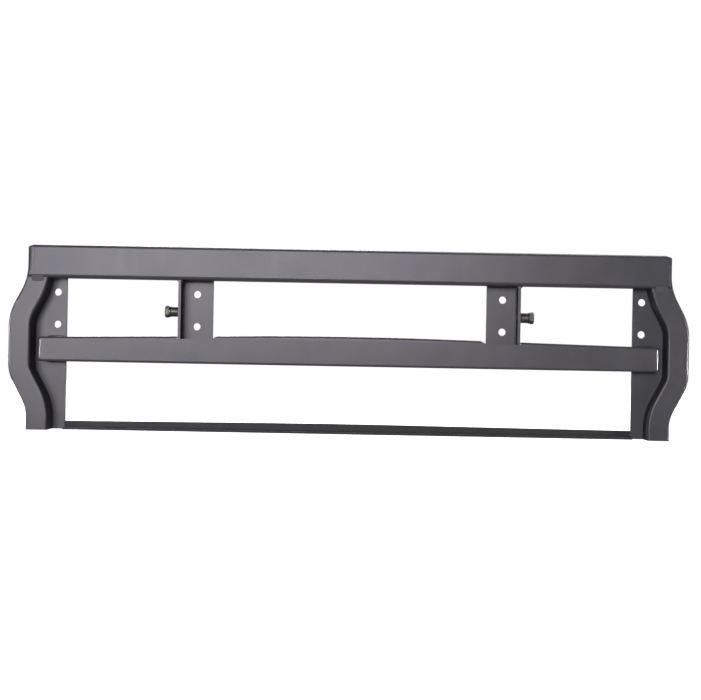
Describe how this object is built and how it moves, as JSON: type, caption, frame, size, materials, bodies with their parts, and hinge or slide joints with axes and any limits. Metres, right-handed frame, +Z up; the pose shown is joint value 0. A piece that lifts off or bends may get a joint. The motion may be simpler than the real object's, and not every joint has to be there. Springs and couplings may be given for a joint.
{
  "type": "front grille guard",
  "caption": "Welded steel grille guard for a truck's front: long top tube, crowned middle rail, bottom bar, bulged box-shaped side members and drilled mounting plates with side pegs.",
  "frame": {"origin": "middle of the bottom of the bounding box, between the feet of the side members", "axes": "+X to the right seen from the front, +Y to the rear towards the truck, +Z up"},
  "size_m": [1.25, 0.05, 0.34],
  "materials": {
    "rail_paint": "satin grey paint",
    "side_paint": "satin grey paint",
    "bar_paint": "satin dark grey paint",
    "bracket_paint": "satin grey paint",
    "weld_paint": "rippled weld under satin grey paint",
    "peg_steel": "dull oiled steel"
  },
  "bodies": {
    "root": {"bottom_bar": "bar_paint", "bottom_bar_weld_left": "weld_paint", "bottom_bar_weld_right": "weld_paint", "bracket_weld_left": "weld_paint", "bracket_weld_right": "weld_paint", "centre_bracket_left": "bracket_paint", "centre_bracket_right": "bracket_paint", "middle_rail": "rail_paint", "middle_rail_weld_left": "weld_paint", "middle_rail_weld_right": "weld_paint", "peg_bolt_left": "peg_steel", "peg_bolt_right": "peg_steel", "peg_boss_left": "peg_steel", "peg_boss_right": "peg_steel", "peg_spring_washer_left": "peg_steel", "peg_spring_washer_right": "peg_steel", "peg_weld_left": "weld_paint", "peg_weld_right": "weld_paint", "side_back_plate_left": "side_paint", "side_back_plate_right": "side_paint", "side_front_flange_left": "side_paint", "side_front_flange_right": "side_paint", "side_head_weld_left": "weld_paint", "side_head_weld_right": "weld_paint", "side_inner_web_left": "side_paint", "side_inner_web_right": "side_paint", "side_outer_web_left": "side_paint", "side_outer_web_right": "side_paint", "top_rail": "rail_paint", "top_rail_cap_left": "rail_paint", "top_rail_cap_right": "rail_paint"}
  },
  "joints": []
}
